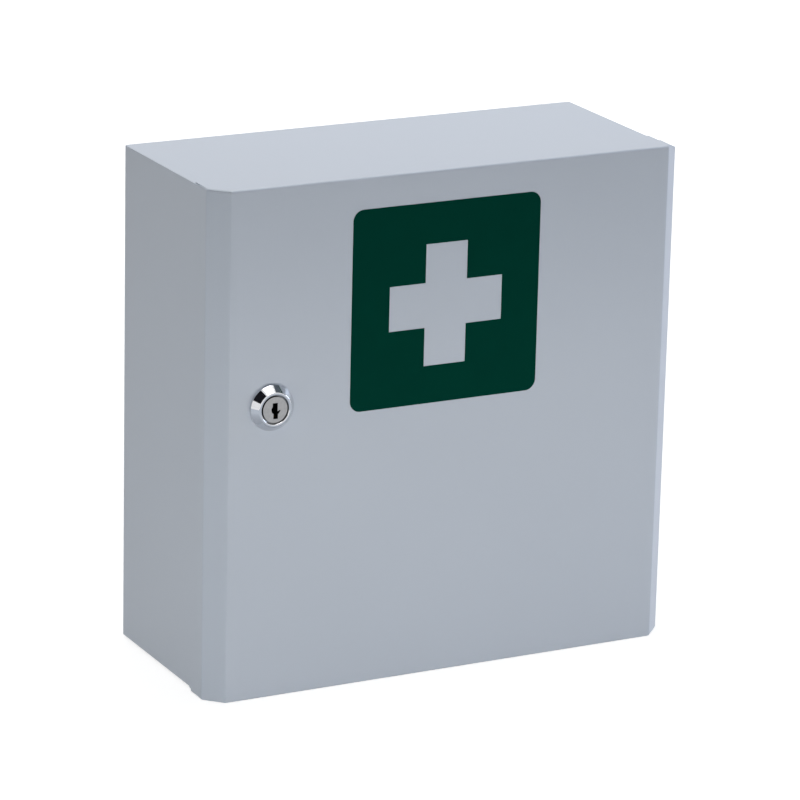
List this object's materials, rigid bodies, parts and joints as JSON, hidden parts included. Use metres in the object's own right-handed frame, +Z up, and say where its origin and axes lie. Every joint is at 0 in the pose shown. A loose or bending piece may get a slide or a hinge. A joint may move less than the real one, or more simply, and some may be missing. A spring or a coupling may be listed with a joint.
{
  "type": "first aid cabinet",
  "caption": "Wall-hung sheet-steel first aid cabinet with a lap-over door with angled side edges, a cam lock, an inner shelf and a green sign with a white cross.",
  "frame": {"origin": "middle of the wall-hole pattern, on the outer face of the case's back", "axes": "+X to the right of someone who faces the door, +Y into the wall, +Z up"},
  "size_m": [0.2517, 0.11, 0.2518],
  "materials": {
    "case_paint": "smooth semi-gloss powder coat, pale cool grey-white",
    "door_paint": "smooth semi-gloss powder coat, pale cool grey-white",
    "sign_film": "dark green self-adhesive film, satin",
    "buffer_rubber": "black rubber, matt",
    "hinge_zinc": "bright zinc plate on pressed steel",
    "pin_steel": "plain drawn steel",
    "rivet_aluminium": "plain aluminium",
    "lock_chrome": "polished chrome plate",
    "plug_nickel": "satin nickel plate with a brushed face",
    "lock_zinc": "zinc plate",
    "wafer_brass": "plain stamped brass",
    "spring_steel": "plain spring steel"
  },
  "bodies": {
    "cabinet": {"cabinet_shell": "case_paint", "top_panel": "case_paint", "bottom_panel": "case_paint", "shelf": "case_paint", "left_shelf_rail": "case_paint", "right_shelf_rail": "case_paint", "door_buffers": "buffer_rubber", "upper_hinge_body_leaf": "hinge_zinc", "lower_hinge_body_leaf": "hinge_zinc", "upper_hinge_pin": "pin_steel", "lower_hinge_pin": "pin_steel", "body_leaf_rivets": "rivet_aluminium"},
    "door": {"door_pan": "door_paint", "first_aid_sign": "sign_film", "upper_hinge_door_leaf": "hinge_zinc", "lower_hinge_door_leaf": "hinge_zinc", "door_leaf_rivets": "rivet_aluminium", "lock_housing": "lock_chrome", "lock_washer": "lock_zinc", "lock_nut": "lock_zinc"},
    "lock_core": {"lock_plug": "plug_nickel", "lock_wafers": "wafer_brass", "wafer_springs": "spring_steel", "lock_cam": "lock_zinc", "cam_washer": "lock_zinc", "cam_screw": "lock_zinc"}
  },
  "joints": [
    {"name": "door_hinge", "type": "hinge", "parent": "cabinet", "child": "door", "pos_m": [0.12435, -0.0819, 0], "axis": [0, 0, 1], "range_deg": [0, 115]},
    {"name": "lock_turn", "type": "hinge", "parent": "door", "child": "lock_core", "pos_m": [-0.09275, -0.105, 0.0195], "axis": [0, 1, 0], "range_deg": [0, 90]}
  ]
}
